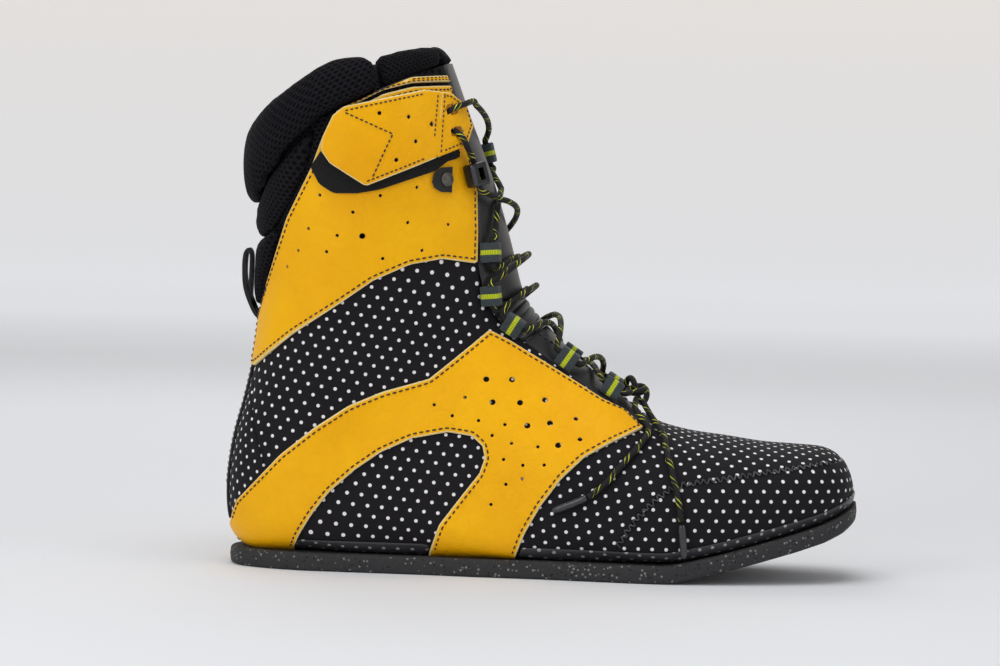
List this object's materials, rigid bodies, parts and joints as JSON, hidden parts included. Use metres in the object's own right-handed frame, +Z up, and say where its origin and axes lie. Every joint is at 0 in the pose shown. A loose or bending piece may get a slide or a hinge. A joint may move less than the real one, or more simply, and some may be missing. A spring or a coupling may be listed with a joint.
{
  "type": "inner boot of a double mountaineering boot",
  "caption": "Soft laced inner boot for a double mountaineering boot: padded collar, gusseted tongue, webbing lace loops, hook-and-loop pull tab and foam sole.",
  "frame": {"origin": "on the floor under the middle of the boot's length", "axes": "+X towards the toe, +Y towards the inner side of the foot, +Z up"},
  "size_m": [0.2871, 0.1152, 0.2374],
  "materials": {
    "leather": "full-grain leather, dyed yellow, lightly pebbled",
    "polka": "black stretch knit with small white dots, laminated",
    "mesh": "black three-layer mesh with hexagon holes",
    "tongue": "black satin-faced soft sheet, ribbed at the bend",
    "felt": "grey wool and synthetic fleece",
    "foam": "dark grey closed-cell foam with pale specks",
    "film": "thin grey translucent film",
    "board": "stitched fibre board",
    "stiffener": "thermoformed sheet",
    "webbing": "ribbed slate webbing with a lime stripe on the lace loops",
    "pile": "black hook-and-loop pile",
    "lace": "round braided lace, black with yellow-green flecks",
    "gunmetal": "dark plated steel",
    "aglet": "heat-shrunk tip"
  },
  "bodies": {
    "boot": {"cuff_overlay_lateral": "leather", "cuff_overlay_medial": "leather", "cuff_facing_lateral": "leather", "cuff_facing_medial": "leather", "lower_overlay_lateral": "leather", "lower_overlay_medial": "leather", "pull_tab_base": "leather", "quarter_lateral": "polka", "quarter_medial": "polka", "heel_panel": "polka", "vamp": "polka", "toe_wall": "polka", "cuff_backing": "mesh", "collar_roll_top": "mesh", "collar_roll_middle": "mesh", "collar_roll_lower": "mesh", "collar_wing_lateral": "mesh", "collar_wing_medial": "mesh", "tongue_instep": "tongue", "tongue_bellows": "tongue", "felt_lining_toe": "felt", "felt_lining_heel": "felt", "felt_lining_shaft": "felt", "tongue_instep_padding": "felt", "foam_sole": "foam", "footbed": "foam", "film_band_front": "film", "film_band_window_lateral": "film", "film_band_window_medial": "film", "strobel_board": "board", "heel_counter": "stiffener", "toe_puff": "stiffener", "back_tape": "webbing", "lace_loop_medial_top": "webbing", "lace_loop_lateral_1": "webbing", "lace_loop_lateral_2": "webbing", "lace_loop_lateral_3": "webbing", "lace_loop_lateral_4": "webbing", "lace_loop_lateral_5": "webbing", "lace_loop_medial_1": "webbing", "lace_loop_medial_2": "webbing", "lace_loop_medial_3": "webbing", "lace_loop_medial_4": "webbing", "lace_loop_medial_5": "webbing", "loop_patch": "pile", "lace": "lace", "lace_knot": "lace", "lace_end_long": "lace", "lace_end_short": "lace", "lock_rivet": "gunmetal", "aglet_long": "aglet", "aglet_short": "aglet"},
    "tongue": {"tongue_shin": "tongue", "tongue_shin_padding": "felt", "tongue_top_pad": "mesh"},
    "pull_tab_flap": {"pull_tab": "leather", "hook_patch": "pile"},
    "lock": {"lock_strap": "webbing", "lace_lock": "gunmetal"},
    "heel_loop": {"heel_pull_loop": "webbing"}
  },
  "joints": [
    {"name": "tongue_tilt", "type": "hinge", "parent": "boot", "child": "tongue", "pos_m": [-0.0013, 0, 0.125], "axis": [0, 1, 0], "range_deg": [0, 15], "deforming": ["lace", "lace_loop_lateral_1", "lace_loop_lateral_2", "lace_loop_medial_1", "lace_loop_medial_2", "lace_loop_medial_top", "tongue_bellows"]},
    {"name": "pull_tab_peel", "type": "hinge", "parent": "boot", "child": "pull_tab_flap", "pos_m": [-0.0482, -0.04342, 0.18603], "axis": [0.032, 0.213, 0.9765], "range_deg": [0, 90]},
    {"name": "lace_lock_swivel", "type": "hinge", "parent": "boot", "child": "lock", "pos_m": [-0.04471, -0.03592, 0.17666], "axis": [0.5928, -0.8048, 0.03], "range_deg": [-8, 8], "deforming": ["lace"]},
    {"name": "heel_pull_loop_flex", "type": "hinge", "parent": "boot", "child": "heel_loop", "pos_m": [-0.1306, 0, 0.1116], "axis": [0, -1, 0], "range_deg": [0, 60], "stiffness_Nm_per_rad": 0.01}
  ]
}
